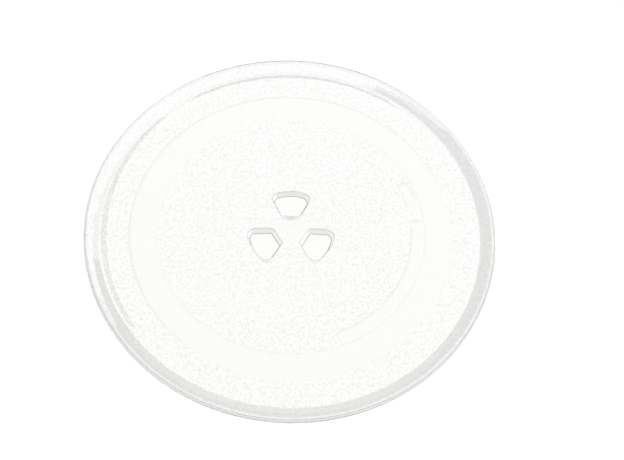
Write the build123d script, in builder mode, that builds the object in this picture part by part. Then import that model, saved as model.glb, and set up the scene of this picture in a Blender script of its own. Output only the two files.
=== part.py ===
from build123d import *

import os

# Microwave turntable plate: one piece of clear pressed glass, dish side up, standing on its drive lugs.
# The origin is on the plate's axis in the plane of the lug ends, +Z is up, and sizes are millimetres.

# Overall sizes
plate_diameter = 245.0
floor_thickness = 4.8
lug_height = 8.0

# Rim, from the outside inwards: a rounded edge, a lip that falls inwards, a sloping wall, and at the wall's foot a
# shallow channel that keeps spills off the middle of the dish
edge_radius = 2.1
edge_land = 0.2
lip_width = 4.9
lip_rise = 1.7
wall_run = 4.4
wall_rise = 1.75
channel_run = 4.2
channel_depth = 0.5
under_head_offset = 0.6
under_foot_offset = 1.0
foot_radius = 3.0
under_foot_radius = 4.0

# Roller track: a smooth ring, let into the pebbled underside
track_diameter = 176.4
track_width = 16.0
track_depth = 0.3
track_edge_run = 1.6

# Smooth panels inside the track, each a short arc let into the underside
panel_gap = 1.5
panel_width = 6.3
panel_depth = 0.4
panel_corner_radius = 1.0
long_panel_start = -69.0
long_panel_span = 74.0
short_panel_start = 12.0
short_panel_span = 13.5
panel_arcs = [(long_panel_start, long_panel_span), (short_panel_start, short_panel_span)]

# Drive lugs: three keystones that the arms of the drive coupler pass between; the radii and widths are those of
# the outline where a side meets the flare of its root
lug_count = 3
first_lug_angle = 90.0
lug_inner_radius = 9.7
lug_outer_radius = 25.8
lug_inner_width = 10.8
lug_outer_width = 24.8
lug_draft = 12.0
lug_inner_corner = 2.0
lug_outer_corner = 4.3
lug_end_bevel = 0.8
lug_end_slope = 40.0
lug_root_flare = 0.9
lug_root_slope = 50.0

# Levels and radii worked out from the sizes above
underside_level = lug_height
floor_level = underside_level + floor_thickness
track_level = underside_level + track_depth
lip_thickness = 2 * edge_radius + edge_land
lip_top_level = floor_level + wall_rise
lip_under_level = lip_top_level - lip_thickness
plate_radius = plate_diameter / 2
head_at = plate_radius - lip_width
foot_at = head_at - wall_run
channel_level = floor_level - channel_depth
track_inner_radius = (track_diameter - track_width) / 2
track_outer_radius = (track_diameter + track_width) / 2
panel_outer_radius = track_inner_radius - panel_gap
panel_inner_radius = panel_outer_radius - panel_width

# Section of the plate, from the axis along the underside, round the edge and back along the dish
under_points = [
    (0, underside_level),
    (track_inner_radius, underside_level),
    (track_inner_radius + track_edge_run, track_level),
    (track_outer_radius - track_edge_run, track_level),
    (track_outer_radius, underside_level),
    (foot_at + under_foot_offset, underside_level),
    (head_at + under_head_offset, lip_under_level),
    (plate_radius, lip_under_level + lip_rise),
]
dish_points = [
    (plate_radius, lip_top_level + lip_rise),
    (head_at, lip_top_level),
    (foot_at, channel_level),
    (foot_at - channel_run, floor_level),
    (0, floor_level),
]
corner_radii = [0, 0, 0, 0, under_foot_radius, 0, edge_radius, edge_radius, 0, foot_radius, 0]

# One drive lug, its root on the underside and its end at the origin's level
lug_half_inner = lug_inner_width / 2
lug_half_outer = lug_outer_width / 2
lug_shoulder = (lug_outer_radius**2 - lug_half_outer**2) ** 0.5
with BuildPart() as lug:
    with BuildSketch(Plane.XY.offset(underside_level - lug_root_flare)) as lug_outline:
        with BuildLine():
            Polyline(
                (lug_shoulder, -lug_half_outer),
                (lug_inner_radius, -lug_half_inner),
                (lug_inner_radius, lug_half_inner),
                (lug_shoulder, lug_half_outer),
            )
            ThreePointArc(
                (lug_shoulder, lug_half_outer),
                (lug_outer_radius, 0),
                (lug_shoulder, -lug_half_outer),
            )
        make_face()
        fillet(lug_outline.vertices().group_by(Axis.X)[-1], radius=lug_outer_corner)
        fillet(lug_outline.vertices().group_by(Axis.X)[0], radius=lug_inner_corner)
    extrude(amount=lug_end_bevel + lug_root_flare - lug_height, taper=lug_draft)
    extrude(lug.faces().sort_by(Axis.Z)[0], amount=lug_end_bevel, taper=lug_end_slope)
    extrude(lug.faces().sort_by(Axis.Z)[-1], amount=lug_root_flare, taper=-lug_root_slope)

# The plate: the section turned about its axis, the lugs set round the centre, and the panels let in
with BuildPart() as turntable_plate:
    with BuildSketch(Plane.XZ) as section:
        with BuildLine():
            FilletPolyline(under_points + dish_points, radius=corner_radii)
            Line(dish_points[-1], under_points[0])
        make_face()
    revolve(axis=Axis.Z)
    with PolarLocations(0, lug_count, start_angle=first_lug_angle):
        add(lug.part)
    for panel_start, panel_span in panel_arcs:
        with BuildSketch(Plane.XY.offset(underside_level)) as panel:
            with BuildLine():
                inner_arc = CenterArc((0, 0), panel_inner_radius, panel_start, panel_span)
                outer_arc = CenterArc((0, 0), panel_outer_radius, panel_start, panel_span)
                Line(inner_arc @ 0, outer_arc @ 0)
                Line(inner_arc @ 1, outer_arc @ 1)
            make_face()
            fillet(panel.vertices(), radius=panel_corner_radius)
        extrude(amount=panel_depth, mode=Mode.SUBTRACT)

turntable_plate.part.label = "turntable_plate"
os.makedirs("parts", exist_ok=True)
export_step(turntable_plate.part, "parts/turntable_plate.step")
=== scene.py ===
import math

import bmesh
import bpy
from bpy.props import FloatProperty, FloatVectorProperty, IntProperty, PointerProperty
from mathutils import Matrix, Vector, noise


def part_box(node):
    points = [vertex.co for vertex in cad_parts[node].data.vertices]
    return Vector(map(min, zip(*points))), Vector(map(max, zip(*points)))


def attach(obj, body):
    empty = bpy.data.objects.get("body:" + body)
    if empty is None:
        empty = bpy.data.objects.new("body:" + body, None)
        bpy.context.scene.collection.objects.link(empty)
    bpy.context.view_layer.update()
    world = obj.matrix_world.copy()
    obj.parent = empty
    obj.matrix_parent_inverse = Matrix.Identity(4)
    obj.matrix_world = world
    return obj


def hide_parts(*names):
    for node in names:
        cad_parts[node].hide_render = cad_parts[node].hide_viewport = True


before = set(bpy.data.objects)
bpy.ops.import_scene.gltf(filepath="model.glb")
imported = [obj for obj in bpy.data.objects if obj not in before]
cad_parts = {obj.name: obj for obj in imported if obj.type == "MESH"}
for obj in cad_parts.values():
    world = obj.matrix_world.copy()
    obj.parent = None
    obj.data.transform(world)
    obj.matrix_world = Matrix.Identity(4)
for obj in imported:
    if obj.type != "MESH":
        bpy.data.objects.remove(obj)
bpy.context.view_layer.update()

bl_info = {
    "name": "Turntable plate",
    "version": (1, 0, 0),
    "blender": (4, 5, 0),
    "location": "3D View > Sidebar > Turntable",
    "description": "Models a pressed-glass microwave turntable plate and a plain studio round it",
    "category": "Object",
}

NODE = "turntable_plate"
PLATE_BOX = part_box(NODE)
PHOTO_SIZE = (624, 460)
SENSOR_WIDTH = 36.0
# Vertex masks: how strong the pebbles' painted shade and light is, and the lug ends that are painted
# lighter
MASK = "pebbled"
PAINT_LIT = "paint_lit"

# Mesh: the sectors that are copied round, the steps of rounded corners, where the arc of a lug's root
# starts, how many channel runs in from the wall's foot the dish is flat, the gaps that are closed, and the
# angle from which an edge is sharp
SECTORS = 24
CORNER_STEPS = 8
ROUND_STEP = math.radians(9.0)
FEWEST_STEPS = 3
ROOT_START = math.radians(15.0)
FLAT_FROM = 3.0
MERGE = 1e-6
WELD = 1e-5
SHARP_ANGLE = math.radians(40.0)

# Pebbles: how far a face of the rim looks down to have them, their mean level, and clouds in the painted
# shade and light of their grooves
FACING_DOWN = -0.15
PEBBLE_LEVEL = 0.5
CLOUD_SCALE = 0.7
CLOUD_DETAIL = 1.0

# Studio: the matt table, and how far back a direction points where the backdrop starts and where it is full
TABLE_ROUGHNESS = 0.9
BACKDROP_START = 0.70
BACKDROP_FULL = 0.95


def length(name, description, default):
    """A size in metres that shows in the panel with its unit."""
    return FloatProperty(name=name, description=description, default=default, unit="LENGTH", precision=5)


def angle(name, description, degrees):
    """An angle that is written in degrees and shows in the panel as one."""
    return FloatProperty(name=name, description=description, default=math.radians(degrees), subtype="ANGLE")


def number(name, description, default):
    """A plain value without a unit."""
    return FloatProperty(name=name, description=description, default=default)


def colour(name, description, default):
    """A colour, or the share of each of its three channels that glass lets through."""
    return FloatVectorProperty(name=name, description=description, default=default, subtype="COLOR",
                               size=3, min=0.0, max=1.0)


class PlateSizes(bpy.types.PropertyGroup):
    """Sizes of the pressed-glass plate."""

    radius: length("Radius", "Outside radius of the lip", PLATE_BOX[1].x)
    lug_height: length("Lug height", "Height of the drive lugs below the floor", 0.0080)
    floor_thickness: length("Floor thickness", "Thickness of the glass under the dish", 0.0048)
    lip_width: length("Lip width", "From the head of the rim wall to the outside edge", 0.0049)
    lip_thickness: length("Lip thickness", "Thickness of the lip at its edge", 0.0044)
    lip_slope: length("Lip slope", "Rise of the lip from the wall to its edge", 0.0017)
    wall_run: length("Wall run", "Width of the rim wall's slope, seen from above", 0.0044)
    wall_rise: length("Wall rise", "Height of the lip above the dish floor", 0.00175)
    channel_run: length("Channel run", "Width of the slope from the dish floor to the wall's foot", 0.0042)
    channel_depth: length("Channel depth", "How far the wall's foot lies below the dish floor", 0.0005)
    channel_rounding: length("Channel rounding", "Radius where the floor turns down to the channel", 0.0200)
    under_foot_out: length("Underside foot", "How much further out the wall's foot lies below", 0.0010)
    under_head_out: length("Underside head", "How much further out the wall's head lies below", 0.0006)
    foot_rounding: length("Foot rounding", "Radius where the channel turns up into the wall", 0.0030)
    under_foot_rounding: length("Underside foot rounding", "Radius below the wall's foot", 0.0040)
    head_rounding: length("Head rounding", "Radius where the wall turns into the lip", 0.0020)
    under_head_rounding: length("Underside head rounding", "Radius below the wall's head", 0.0030)
    edge_rounding: length("Edge rounding", "Radius of the lip's edge", 0.0021)
    track_inner: length("Track inner radius", "Inner radius of the smooth roller track", 0.0802)
    track_outer: length("Track outer radius", "Outer radius of the smooth roller track", 0.0962)
    track_depth: length("Track depth", "How far the track is let into the pebbled face", 0.0003)
    track_edge: length("Track edge", "Width of the slope at either edge of the track", 0.0010)
    panel_inner: length("Panel inner radius", "Inner radius of the smooth panels", 0.0724)
    panel_outer: length("Panel outer radius", "Outer radius of the smooth panels", 0.0787)
    panel_depth: length("Panel depth", "How far the panels are let into the pebbled face", 0.0004)
    panel_corner: length("Panel corner", "Radius of the panels' corners", 0.0010)
    long_panel_start: angle("Long panel start", "Where the long panel starts, from +X", -69.0)
    long_panel_span: angle("Long panel span", "Angle that the long panel spans", 74.0)
    short_panel_start: angle("Short panel start", "Where the short panel starts, from +X", 12.0)
    short_panel_span: angle("Short panel span", "Angle that the short panel spans", 13.5)
    segments: IntProperty(name="Segments", description="Steps round the rim, of which the hub has half",
                          default=816)


class LugSizes(bpy.types.PropertyGroup):
    """Sizes of the keystone drive lugs, where their sides meet the rounded roots."""

    count: IntProperty(name="Count", description="Number of lugs round the axis", default=3)
    first_angle: angle("First lug", "Where the first lug lies, from +X", 90.0)
    inner_radius: length("Inner end", "Distance of the inner end from the axis", 0.0095)
    outer_radius: length("Outer arc", "Radius of the outer arc about the axis", 0.0260)
    inner_width: length("Inner width", "Width of the inner end", 0.0112)
    outer_width: length("Outer width", "Width across the outer corners", 0.0252)
    inner_corner: length("Inner corner", "Radius of the two inner corners", 0.0022)
    outer_corner: length("Outer corner", "Radius of the two outer corners", 0.0045)
    draft: angle("Draft", "Slope of the sides that lets the mould part", 9.5)
    end_rounding: length("End rounding", "Radius round the end face", 0.0005)
    root_rounding: length("Root rounding", "Radius where the sides meet the floor", 0.0009)


class GlassFinish(bpy.types.PropertyGroup):
    """Colour and surface of the pressed glass."""

    tint: colour("Tint", "Colour that thick glass takes on", (0.56, 0.562, 0.54))
    depth: number("Tint density", "Absorption per metre of glass", 9.0)
    body: colour("Body colour", "Light that a pass through the glass leaves", (0.765, 0.765, 0.76))
    # Painted light: the lug ends get a lighter colour than the body, to lift the shade under the lugs
    paint_lit_ends: colour("Lightened colour", "Light that the polished lug ends leave", (0.885, 0.885, 0.88))
    passing: colour("Passing light", "Share of light that each face lets straight on", (0.97, 0.97, 0.965))
    refraction: number("Refraction", "Index of refraction of soda-lime glass", 1.52)
    straight: number("Straight light", "Share of the light that goes straight through", 0.85)
    clear_slant: number("Clear slant", "Slant up to which light goes straight through", 0.35)
    closed_slant: number("Closed slant", "Slant past which none goes straight through", 0.9)
    turns: number("Turns", "Bends and reflections after which light leaves straight", 2.5)
    # Painted shade and light: the grooves of the pebbled side are painted darker and the pebbles lighter,
    # in place of the shadows and highlights that the pebbles make
    painted_shading: number("Shading", "How much the pebbles and the grooves differ in tone", 0.34)
    painted_shading_middle: number("Grain middle", "Point of the grain that keeps the body colour", 1.0)
    painted_shading_width: length("Grain width", "Mean distance between the grooves of the grain", 0.0014)
    rim_painted_shading: number("Rim grain", "Share of the grain that reaches the rim", 0.6)
    pebble_width: length("Pebble width", "Mean distance between the pebbles of the underside", 0.0019)
    pebble_height: length("Pebble height", "Height of the pebbles", 0.00005)
    pebble_step: length("Pebble step", "Mesh spacing that the pebbles are shaped on", 0.00085)
    smooth_hub: length("Smooth hub", "Radius of the bare round between the lugs", 0.0090)


class StudioSettings(bpy.types.PropertyGroup):
    """Camera, light and floor."""

    focal_length: number("Focal length", "Camera lens in millimetres", 63.46)
    elevation: angle("Elevation", "Height of the camera above the table's plane", 60.96)
    azimuth: angle("Azimuth", "Turn of the camera about the plate, from -Y", -5.0)
    roll: angle("Roll", "Turn of the camera about its own axis", 5.32)
    distance: length("Distance", "From the camera to the plate's centre", 0.6593)
    aim_height: length("Aim height", "Level of the point that the centre pixel shows", 0.0098)
    centre_x: number("Centre X", "Pixel of the photograph that shows the plate's centre", 290.94)
    centre_y: number("Centre Y", "Pixel of the photograph that shows the plate's centre", 228.82)
    softbox_place: FloatVectorProperty(name="Softbox", description="Middle of the lamp over the plate",
                                       subtype="XYZ", unit="LENGTH", size=3, default=(1.48, 1.38, 4.0))
    softbox_width: length("Softbox width", "Breadth of the lamp along X", 5.52)
    softbox_length: length("Softbox length", "Length of the lamp along Y", 5.8)
    softbox_brightness: number("Softbox brightness", "Radiance of the lamp", 2.9)
    fill: number("Fill", "Brightness of the light from above and all round", 0.10)
    horizon: number("Horizon", "Brightness of the light near the horizon", 0.05)
    backdrop: number("Backdrop", "Brightness of the horizon behind the plate", 0.90)
    dark_below: angle("Dark below", "Height above the horizon up to which it is dark", 5.0)
    light_above: angle("Light above", "Height above the horizon from which the fill is full", 35.0)
    glow: number("Table glow", "What lifts the table behind the glass to white", 0.735)
    floor_colour: colour("Floor colour", "Colour of the table", (0.38, 0.38, 0.38))
    table_gap: length("Table gap", "Air between the lugs' ends and the table", 0.0001)
    table_reach: length("Table reach", "From the plate's axis to the table's edges", 3.0)


def settings(context):
    """The scene's own settings, as the panel shows them."""
    return context.scene.turntable


def new_object(context, name, bm):
    """A mesh object at the origin made from a bmesh."""
    mesh = bpy.data.meshes.new(name)
    bm.to_mesh(mesh)
    bm.free()
    piece = bpy.data.objects.new(name, mesh)
    context.scene.collection.objects.link(piece)
    return piece


def rounded_line(bm, corners):
    """Joins points of a section, each a radius, a level and a rounding, and rounds the corners."""
    points = [Vector((radius, 0.0, level)) for radius, level, rounding in corners]
    verts = [bm.verts.new(point) for point in points]
    for start, end in zip(verts, verts[1:]):
        bm.edges.new((start, end))
    for index, corner in enumerate(corners):
        rounding = corner[2]
        if not rounding:
            continue
        into = points[index] - points[index - 1]
        out = points[index + 1] - points[index]
        turn = into.angle(out)
        steps = max(FEWEST_STEPS, math.ceil(turn / ROUND_STEP))
        bmesh.ops.bevel(bm, geom=[verts[index]], offset=rounding * math.tan(turn / 2), offset_type="OFFSET",
                        segments=steps, profile=0.5, affect="VERTICES", material=-1)


def even_steps(bm, step, start, top):
    """Divides the section's edges outside a radius and below a level, so that none is longer than step."""
    for edge in bm.edges[:]:
        middle = (edge.verts[0].co + edge.verts[1].co) / 2
        cuts = math.ceil(edge.calc_length() / step) - 1
        if middle.x > start and middle.z < top - MERGE and cuts > 0:
            bmesh.ops.subdivide_edges(bm, edges=[edge], cuts=cuts)


def turn_section(bm, segments):
    """Turns the section through one sector and copies the sector round the plate's axis."""
    sector = 2 * math.pi / SECTORS
    bmesh.ops.spin(bm, geom=bm.verts[:] + bm.edges[:], cent=(0, 0, 0), axis=(0, 0, 1), dvec=(0, 0, 0),
                   angle=sector, steps=segments // SECTORS)
    copy_round(bm, SECTORS)
    bmesh.ops.remove_doubles(bm, verts=bm.verts, dist=MERGE)


def copy_round(bm, count):
    """Copies the whole mesh round the plate's axis, so that there are count of it."""
    turn = 2 * math.pi / count
    bmesh.ops.spin(bm, geom=bm.verts[:] + bm.edges[:] + bm.faces[:], cent=(0, 0, 0), axis=(0, 0, 1),
                   dvec=(0, 0, 0), angle=turn * (count - 1), steps=count - 1, use_duplicate=True)


def levels(sizes):
    """Levels of the underside, the track, the dish floor and the top and bottom of the lip."""
    underside = sizes.lug_height
    track = underside + sizes.track_depth
    dish = underside + sizes.floor_thickness
    lip_top = dish + sizes.wall_rise
    lip_under = lip_top - sizes.lip_thickness
    return underside, track, dish, lip_top, lip_under


def hub_mesh(sizes, finish):
    """The underside inside the track: a bare round, a pebbled ring and the track's inner edge."""
    underside, track = levels(sizes)[:2]
    bm = bmesh.new()
    rounded_line(bm, [
        (0, underside, 0),
        (finish.smooth_hub, underside, 0),
        (sizes.track_inner, underside, 0),
        (sizes.track_inner + sizes.track_edge, track, 0),
    ])
    even_steps(bm, finish.pebble_step, finish.smooth_hub, track)
    turn_section(bm, sizes.segments // 2)
    bmesh.ops.subdivide_edges(bm, edges=[side for side in bm.edges if side.is_boundary], cuts=1)
    return bm


def rim_mesh(sizes, finish):
    """The track, the pebbled ring outside it, the wall, the lip, and the dish back to its centre."""
    underside, track, dish, lip_top, lip_under = levels(sizes)
    head = sizes.radius - sizes.lip_width
    foot = head - sizes.wall_run
    bm = bmesh.new()
    rounded_line(bm, [
        (sizes.track_inner + sizes.track_edge, track, 0),
        (sizes.track_outer - sizes.track_edge, track, 0),
        (sizes.track_outer, underside, 0),
        (foot + sizes.under_foot_out, underside, sizes.under_foot_rounding),
        (head + sizes.under_head_out, lip_under, sizes.under_head_rounding),
        (sizes.radius, lip_under + sizes.lip_slope, sizes.edge_rounding),
        (sizes.radius, lip_top + sizes.lip_slope, sizes.edge_rounding),
        (head, lip_top, sizes.head_rounding),
        (foot, dish - sizes.channel_depth, sizes.foot_rounding),
        (foot - sizes.channel_run, dish, sizes.channel_rounding),
        (foot - FLAT_FROM * sizes.channel_run, dish, 0),
        (0, dish, 0),
    ])
    even_steps(bm, finish.pebble_step, sizes.track_outer, dish - sizes.channel_depth)
    turn_section(bm, sizes.segments)
    return bm


def plate_mesh(sizes, finish):
    """The turned plate, closed: hub and rim welded at the track's inner edge."""
    bm = hub_mesh(sizes, finish)
    outside = bpy.data.meshes.new("rim")
    rim = rim_mesh(sizes, finish)
    rim.to_mesh(outside)
    rim.free()
    bm.from_mesh(outside)
    bpy.data.meshes.remove(outside)
    bmesh.ops.remove_doubles(bm, verts=bm.verts, dist=WELD)
    bmesh.ops.recalc_face_normals(bm, faces=bm.faces)
    return bm


def arc_steps(radius, start, end):
    """Steps along a quarter round or part of one, each as its run aside and its drop."""
    turns = [start + (end - start) * step / CORNER_STEPS for step in range(CORNER_STEPS + 1)]
    return [(radius * abs(math.sin(high) - math.sin(low)), radius * abs(math.cos(high) - math.cos(low)))
            for low, high in zip(turns, turns[1:])]


def lug_steps(lugs, height):
    """Steps that draw the lug's outline in and push it down, from inside the floor to its end."""
    root = arc_steps(lugs.root_rounding, ROOT_START, math.pi / 2)
    end = [(run, drop) for drop, run in arc_steps(lugs.end_rounding, 0.0, math.pi / 2)]
    straight = height - sum(drop for run, drop in root + end)
    side = (straight * math.tan(lugs.draft), straight)
    return [(0.0, lugs.root_rounding)] + root + [side] + end


def lug_outline(bm, lugs, level):
    """A keystone face: half of its outline in straight runs and arcs, mirrored and filled."""
    root = lugs.root_rounding
    inner = lugs.inner_radius - root
    outer = lugs.outer_radius + root
    half_in = lugs.inner_width / 2
    half_out = lugs.outer_width / 2
    shoulder = math.sqrt(lugs.outer_radius**2 - half_out**2)
    lean = math.atan2(half_out - half_in, shoulder - lugs.inner_radius)
    along = Vector((math.cos(lean), math.sin(lean), 0))
    across = Vector((-math.sin(lean), math.cos(lean), 0))
    side = Vector((lugs.inner_radius, half_in, level)) + across * root
    # Centre of the inner corner, a radius in from the inner end and from the side.
    small = lugs.inner_corner + root
    start = side - across * small
    inner_centre = start + along * ((inner + small - start.x) / along.x)
    # Centre of the outer corner, a radius in from the side and from the outer arc.
    large = lugs.outer_corner + root
    start = side - across * large
    flat = start.to_2d()
    reach = -flat.dot(along.to_2d())
    reach += math.sqrt(flat.dot(along.to_2d()) ** 2 - flat.length_squared + (outer - large) ** 2)
    outer_centre = start + along * reach
    axis_turn = math.atan2(outer_centre.y, outer_centre.x)
    verts = [bm.verts.new((inner, 0, level))]
    runs = [
        (Vector((inner, inner_centre.y, level)), inner_centre, lean - math.pi / 2),
        (outer_centre + across * large, outer_centre, axis_turn - lean - math.pi / 2),
    ]
    for point, centre, turn in runs:
        verts.append(bm.verts.new(point))
        bm.edges.new(verts[-2:])
        spun = bmesh.ops.spin(bm, geom=[verts[-1]], cent=centre, axis=(0, 0, 1), dvec=(0, 0, 0),
                              angle=turn, steps=CORNER_STEPS)
        verts.append(spun["geom_last"][0])
    bmesh.ops.spin(bm, geom=[verts[-1]], cent=(0, 0, level), axis=(0, 0, 1), dvec=(0, 0, 0),
                   angle=-axis_turn, steps=CORNER_STEPS)
    bmesh.ops.mirror(bm, geom=bm.verts[:] + bm.edges[:], axis="Y", merge_dist=MERGE)
    face = bmesh.ops.contextual_create(bm, geom=bm.edges[:])["faces"][0]
    bm.normal_update()
    if face.normal.z > 0:
        bmesh.ops.reverse_faces(bm, faces=[face])
    return face


def lug_mesh(sizes, lugs):
    """The drive lugs, each a keystone face drawn in and pushed down, with its root inside the floor."""
    bm = bmesh.new()
    face = lug_outline(bm, lugs, sizes.lug_height + lugs.root_rounding)
    bmesh.ops.duplicate(bm, geom=[face])
    for draw_in, push in lug_steps(lugs, sizes.lug_height):
        bmesh.ops.inset_individual(bm, faces=[face], thickness=draw_in, depth=push, use_even_offset=True)
    bmesh.ops.remove_doubles(bm, verts=bm.verts, dist=MERGE)
    bmesh.ops.recalc_face_normals(bm, faces=bm.faces)
    bmesh.ops.rotate(bm, verts=bm.verts, cent=(0, 0, 0), matrix=Matrix.Rotation(lugs.first_angle, 3, "Z"))
    copy_round(bm, lugs.count)
    return bm


def fuse(context, piece, tool):
    """Joins a second mesh to a piece, as the glass of the lugs runs into the glass of the floor."""
    union = piece.modifiers.new("lugs", "BOOLEAN")
    union.operation = "UNION"
    union.solver = "EXACT"
    union.object = tool
    context.view_layer.update()
    fused = bpy.data.meshes.new_from_object(piece.evaluated_get(context.evaluated_depsgraph_get()))
    old = piece.data
    piece.modifiers.clear()
    piece.data = fused
    fused.name = piece.name
    bpy.data.meshes.remove(old)
    bpy.data.objects.remove(tool)


def arc_depth(sizes, place, start, span):
    """How deep a smooth panel is let in at a place: 1 inside its rounded outline and 0 outside."""
    middle = (sizes.panel_inner + sizes.panel_outer) / 2
    radius = math.hypot(place.x, place.y)
    turn = math.atan2(place.y, place.x) - (start + span / 2)
    turn = (turn + math.pi) % (2 * math.pi) - math.pi
    across = abs(radius - middle) - (sizes.panel_outer - sizes.panel_inner) / 2 + sizes.panel_corner
    along = abs(turn) * middle - span * middle / 2 + sizes.panel_corner
    outside = math.hypot(max(across, 0), max(along, 0)) + min(max(across, along), 0) - sizes.panel_corner
    return min(1.0, max(0.0, 0.5 - outside / (2 * sizes.track_edge)))


def shape_underside(piece, sizes, finish):
    """Lets the panels in, raises the pebbles, and marks where the pebbles' painted shade and light fall and
    the lug ends that are painted lighter.
    """
    underside = levels(sizes)[0]
    bm = bmesh.new()
    bm.from_mesh(piece.data)
    bm.normal_update()
    mask = bm.verts.layers.float.new(MASK)
    paint_lit_ends = bm.verts.layers.float.new(PAINT_LIT)
    moves = []
    for vert in bm.verts:
        # Lug ends: marked to be painted lighter, against the shade under the lugs
        vert[paint_lit_ends] = float(vert.co.z < MERGE)
        radius = math.hypot(vert.co.x, vert.co.y)
        on_floor = abs(vert.co.z - underside) < MERGE
        on_rim = radius > sizes.track_outer and vert.normal.z < FACING_DOWN
        on_track = sizes.track_inner - MERGE < radius < sizes.track_outer + MERGE
        if on_track or not (on_floor or on_rim) or radius < finish.smooth_hub:
            continue
        panel = max(arc_depth(sizes, vert.co, sizes.long_panel_start, sizes.long_panel_span),
                    arc_depth(sizes, vert.co, sizes.short_panel_start, sizes.short_panel_span))
        near = noise.voronoi(vert.co / finish.pebble_width)[0][0]
        pebble = finish.pebble_height * (PEBBLE_LEVEL - min(near, 1.0))
        # How strong the painted shade and light of the pebbles is: full on the floor, the rim's share on
        # the rim, none in the panels
        vert[mask] = (1.0 - panel) * (1.0 if on_floor else finish.rim_painted_shading)
        let_in = Vector((0, 0, panel * sizes.panel_depth))
        moves.append((vert, let_in + vert.normal * pebble * (1.0 - panel)))
    for vert, move in moves:
        vert.co += move
    bm.to_mesh(piece.data)
    bm.free()


def smooth_shading(piece):
    """Shades the piece smooth, apart from its sharp edges, with large flat faces kept flat."""
    piece.data.shade_smooth()
    piece.data.set_sharp_from_angle(angle=SHARP_ANGLE)
    weighted = piece.modifiers.new("normals", "WEIGHTED_NORMAL")
    weighted.keep_sharp = True


def light_through(nodes, links, finish):
    """Share of the light that goes straight through, on its way to the table or trapped in the glass."""
    path = nodes.new("ShaderNodeLightPath")
    cast = nodes.new("ShaderNodeMath")
    cast.operation = "MAXIMUM"
    links.new(path.outputs["Is Shadow Ray"], cast.inputs[0])
    links.new(path.outputs["Is Diffuse Ray"], cast.inputs[1])
    slant = nodes.new("ShaderNodeLayerWeight")
    clear = nodes.new("ShaderNodeMapRange")
    clear.interpolation_type = "SMOOTHSTEP"
    clear.inputs["From Min"].default_value = finish.clear_slant
    clear.inputs["From Max"].default_value = finish.closed_slant
    clear.inputs["To Min"].default_value = finish.straight
    clear.inputs["To Max"].default_value = 0.0
    links.new(slant.outputs["Facing"], clear.inputs["Value"])
    share = nodes.new("ShaderNodeMath")
    share.operation = "MULTIPLY"
    links.new(cast.outputs["Value"], share.inputs[0])
    links.new(clear.outputs["Result"], share.inputs[1])
    trapped = nodes.new("ShaderNodeMath")
    trapped.operation = "GREATER_THAN"
    trapped.inputs[1].default_value = finish.turns
    links.new(path.outputs["Ray Depth"], trapped.inputs[0])
    passing = nodes.new("ShaderNodeMath")
    passing.operation = "MAXIMUM"
    links.new(share.outputs["Value"], passing.inputs[0])
    links.new(trapped.outputs["Value"], passing.inputs[1])
    return passing.outputs["Value"]


def pebble_painted_shading(nodes, links, finish):
    """Painted shade and light of the pebbled side: painted shade in the grooves below 0, painted light on
    the pebbles above it, and 0 where the glass is smooth.
    """
    place = nodes.new("ShaderNodeTexCoord")
    cells = nodes.new("ShaderNodeTexVoronoi")
    cells.inputs["Scale"].default_value = 1 / finish.painted_shading_width
    links.new(place.outputs["Object"], cells.inputs["Vector"])
    clouds = nodes.new("ShaderNodeTexNoise")
    clouds.inputs["Scale"].default_value = CLOUD_SCALE / finish.painted_shading_width
    clouds.inputs["Detail"].default_value = CLOUD_DETAIL
    links.new(place.outputs["Object"], clouds.inputs["Vector"])
    grooves = nodes.new("ShaderNodeMath")
    grooves.operation = "ADD"
    links.new(cells.outputs["Distance"], grooves.inputs[0])
    links.new(clouds.outputs["Fac"], grooves.inputs[1])
    pebbles = nodes.new("ShaderNodeMath")
    pebbles.operation = "SUBTRACT"
    pebbles.inputs[0].default_value = finish.painted_shading_middle
    links.new(grooves.outputs["Value"], pebbles.inputs[1])
    pebbled = nodes.new("ShaderNodeAttribute")
    pebbled.attribute_name = MASK
    painted_shading = nodes.new("ShaderNodeMath")
    painted_shading.operation = "MULTIPLY"
    links.new(pebbles.outputs["Value"], painted_shading.inputs[0])
    links.new(pebbled.outputs["Fac"], painted_shading.inputs[1])
    return painted_shading.outputs["Value"]


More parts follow.
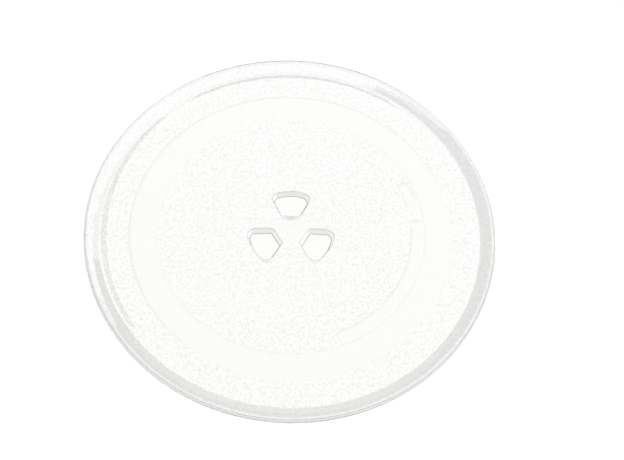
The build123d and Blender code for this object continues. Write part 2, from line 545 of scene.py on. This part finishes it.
def clear_glass(finish):
    """Clear soda-lime glass, with painted shade and light in a fine pattern on its pebbled side, and lug
    ends painted lighter.
    """
    material = bpy.data.materials.new("clear_glass")
    material.use_nodes = True
    nodes = material.node_tree.nodes
    links = material.node_tree.links
    shader = nodes["Principled BSDF"]
    painted_shading = pebble_painted_shading(nodes, links, finish)
    # Base colour: the body colour, painted darker in the grooves and lighter on the pebbles as their shade
    # and light
    body = nodes.new("ShaderNodeVectorMath")
    body.operation = "MULTIPLY_ADD"
    body.inputs[1].default_value = [channel * finish.painted_shading for channel in finish.body]
    body.inputs[2].default_value = finish.body
    links.new(painted_shading, body.inputs[0])
    # Painted light: the lug ends are lighter than the body, to lift the shade under the lugs
    paint_lit = nodes.new("ShaderNodeAttribute")
    paint_lit.attribute_name = PAINT_LIT
    ends = nodes.new("ShaderNodeVectorMath")
    ends.operation = "MULTIPLY_ADD"
    ends.inputs[1].default_value = [clear - channel for clear, channel in zip(finish.paint_lit_ends, finish.body)]
    links.new(paint_lit.outputs["Fac"], ends.inputs[0])
    links.new(body.outputs["Vector"], ends.inputs[2])
    links.new(ends.outputs["Vector"], shader.inputs["Base Color"])
    shader.inputs["Roughness"].default_value = 0.0
    shader.inputs["IOR"].default_value = finish.refraction
    shader.inputs["Transmission Weight"].default_value = 1.0
    through = nodes.new("ShaderNodeBsdfTransparent")
    through.inputs["Color"].default_value = (*finish.passing, 1.0)
    surface = nodes.new("ShaderNodeMixShader")
    links.new(light_through(nodes, links, finish), surface.inputs["Fac"])
    links.new(shader.outputs["BSDF"], surface.inputs[1])
    links.new(through.outputs["BSDF"], surface.inputs[2])
    links.new(surface.outputs["Shader"], nodes["Material Output"].inputs["Surface"])
    absorption = nodes.new("ShaderNodeVolumeAbsorption")
    absorption.inputs["Color"].default_value = (*finish.tint, 1.0)
    absorption.inputs["Density"].default_value = finish.depth
    links.new(absorption.outputs["Volume"], nodes["Material Output"].inputs["Volume"])
    return material


class TURNTABLE_OT_plate(bpy.types.Operator):
    """Model the glass plate with its track, panels, pebbles and drive lugs"""

    bl_idname = "turntable.plate"
    bl_label = "Glass plate"

    def execute(self, context):
        values = settings(context)
        sizes, lugs, finish = values.plate, values.lugs, values.glass
        plate = new_object(context, "glass_plate", plate_mesh(sizes, finish))
        fuse(context, plate, new_object(context, "lugs", lug_mesh(sizes, lugs)))
        shape_underside(plate, sizes, finish)
        smooth_shading(plate)
        plate.data.materials.clear()
        plate.data.materials.append(clear_glass(finish))
        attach(plate, "root")
        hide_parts(NODE)
        return {"FINISHED"}


def camera_object(context, studio):
    """The camera at the photograph's viewing angle."""
    turn = Matrix.Rotation(studio.azimuth, 3, "Z")
    back = turn @ Vector((0, -math.cos(studio.elevation), math.sin(studio.elevation)))
    level = turn @ Vector((1, 0, 0))
    upright = back.cross(level)
    right = level * math.cos(studio.roll) + upright * math.sin(studio.roll)
    up = back.cross(right)
    data = bpy.data.cameras.new("camera")
    data.sensor_width = SENSOR_WIDTH
    data.lens = studio.focal_length
    focal_pixels = studio.focal_length / SENSOR_WIDTH * PHOTO_SIZE[0]
    aside = (studio.centre_x - PHOTO_SIZE[0] / 2) / focal_pixels * studio.distance
    down = (studio.centre_y - PHOTO_SIZE[1] / 2) / focal_pixels * studio.distance
    camera = bpy.data.objects.new("camera", data)
    context.scene.collection.objects.link(camera)
    place = Matrix((right, up, back)).transposed().to_4x4()
    aim = Vector((0, 0, studio.aim_height)) - right * aside + up * down
    place.translation = aim + back * studio.distance
    camera.matrix_world = place
    context.scene.camera = camera


def floor_material(studio):
    """White table: lit like a matt surface, and bright enough behind the glass to read as white."""
    material = bpy.data.materials.new("white_table")
    material.use_nodes = True
    nodes = material.node_tree.nodes
    links = material.node_tree.links
    shader = nodes["Principled BSDF"]
    shader.inputs["Base Color"].default_value = (*studio.floor_colour, 1.0)
    shader.inputs["Roughness"].default_value = TABLE_ROUGHNESS
    shader.inputs["Specular IOR Level"].default_value = 0.0
    path = nodes.new("ShaderNodeLightPath")
    seen = nodes.new("ShaderNodeMath")
    seen.operation = "ADD"
    seen.use_clamp = True
    links.new(path.outputs["Is Camera Ray"], seen.inputs[0])
    links.new(path.outputs["Is Transmission Ray"], seen.inputs[1])
    also = nodes.new("ShaderNodeMath")
    also.operation = "ADD"
    also.use_clamp = True
    links.new(seen.outputs["Value"], also.inputs[0])
    links.new(path.outputs["Is Glossy Ray"], also.inputs[1])
    glow = nodes.new("ShaderNodeMath")
    glow.operation = "MULTIPLY"
    glow.inputs[1].default_value = studio.glow
    links.new(also.outputs["Value"], glow.inputs[0])
    shader.inputs["Emission Color"].default_value = (1, 1, 1, 1)
    links.new(glow.outputs["Value"], shader.inputs["Emission Strength"])
    return material


def studio_world(context, studio):
    """Light from above that falls off towards the horizon, a backdrop behind, and white for the camera."""
    world = bpy.data.worlds.new("studio")
    context.scene.world = world
    world.use_nodes = True
    nodes = world.node_tree.nodes
    links = world.node_tree.links
    coordinates = nodes.new("ShaderNodeTexCoord")
    height = nodes.new("ShaderNodeSeparateXYZ")
    links.new(coordinates.outputs["Generated"], height.inputs["Vector"])
    behind = nodes.new("ShaderNodeMapRange")
    behind.interpolation_type = "SMOOTHSTEP"
    behind.inputs["From Min"].default_value = BACKDROP_START
    behind.inputs["From Max"].default_value = BACKDROP_FULL
    behind.inputs["To Min"].default_value = studio.horizon
    behind.inputs["To Max"].default_value = studio.backdrop
    links.new(height.outputs["Y"], behind.inputs["Value"])
    fall = nodes.new("ShaderNodeMapRange")
    fall.interpolation_type = "SMOOTHSTEP"
    fall.inputs["From Min"].default_value = math.sin(studio.dark_below)
    fall.inputs["From Max"].default_value = math.sin(studio.light_above)
    fall.inputs["To Max"].default_value = studio.fill
    links.new(behind.outputs["Result"], fall.inputs["To Min"])
    links.new(height.outputs["Z"], fall.inputs["Value"])
    path = nodes.new("ShaderNodeLightPath")
    white = nodes.new("ShaderNodeMath")
    white.operation = "MAXIMUM"
    links.new(fall.outputs["Result"], white.inputs[0])
    links.new(path.outputs["Is Camera Ray"], white.inputs[1])
    nodes["Background"].inputs["Color"].default_value = (1.0, 1.0, 1.0, 1.0)
    links.new(white.outputs["Value"], nodes["Background"].inputs["Strength"])


def softbox(context, studio):
    """A broad lamp that hangs level over the plate."""
    lamp = bpy.data.lights.new("softbox", "AREA")
    lamp.shape = "RECTANGLE"
    lamp.size = studio.softbox_width
    lamp.size_y = studio.softbox_length
    lamp.energy = studio.softbox_brightness * math.pi * lamp.size * lamp.size_y
    hung = bpy.data.objects.new("softbox", lamp)
    hung.location = studio.softbox_place
    context.scene.collection.objects.link(hung)


class TURNTABLE_OT_studio(bpy.types.Operator):
    """Set out the white table, the soft light and the camera"""

    bl_idname = "turntable.studio"
    bl_label = "Studio"

    def execute(self, context):
        studio = settings(context).studio
        bm = bmesh.new()
        under_lugs = Matrix.Translation((0, 0, -studio.table_gap))
        bmesh.ops.create_grid(bm, x_segments=1, y_segments=1, size=studio.table_reach, matrix=under_lugs)
        floor = new_object(context, "table", bm)
        floor.data.materials.append(floor_material(studio))
        studio_world(context, studio)
        softbox(context, studio)
        camera_object(context, studio)
        context.scene.view_settings.view_transform = "Standard"
        return {"FINISHED"}


class TurntableSettings(bpy.types.PropertyGroup):
    """All that the panel shows."""

    plate: PointerProperty(type=PlateSizes)
    lugs: PointerProperty(type=LugSizes)
    glass: PointerProperty(type=GlassFinish)
    studio: PointerProperty(type=StudioSettings)


class VIEW3D_PT_turntable(bpy.types.Panel):
    """Sizes, finishes and steps of the turntable plate"""

    bl_idname = "VIEW3D_PT_turntable"
    bl_label = "Turntable plate"
    bl_space_type = "VIEW_3D"
    bl_region_type = "UI"
    bl_category = "Turntable"

    def draw(self, context):
        values = settings(context)
        for group in (values.plate, values.lugs, values.glass, values.studio):
            column = self.layout.column(align=True)
            for name in group.bl_rna.properties.keys():
                if name not in {"rna_type", "name"}:
                    column.prop(group, name)
        for operator in OPERATORS:
            self.layout.operator(operator.bl_idname)


OPERATORS = (TURNTABLE_OT_plate, TURNTABLE_OT_studio)
GROUPS = (PlateSizes, LugSizes, GlassFinish, StudioSettings, TurntableSettings)
CLASSES = (*GROUPS, *OPERATORS, VIEW3D_PT_turntable)


def register():
    for cls in CLASSES:
        bpy.utils.register_class(cls)
    bpy.types.Scene.turntable = PointerProperty(type=TurntableSettings)


def unregister():
    del bpy.types.Scene.turntable
    for cls in reversed(CLASSES):
        bpy.utils.unregister_class(cls)


def main():
    register()
    bpy.ops.turntable.plate()
    bpy.ops.turntable.studio()


if __name__ == "__main__":
    main()
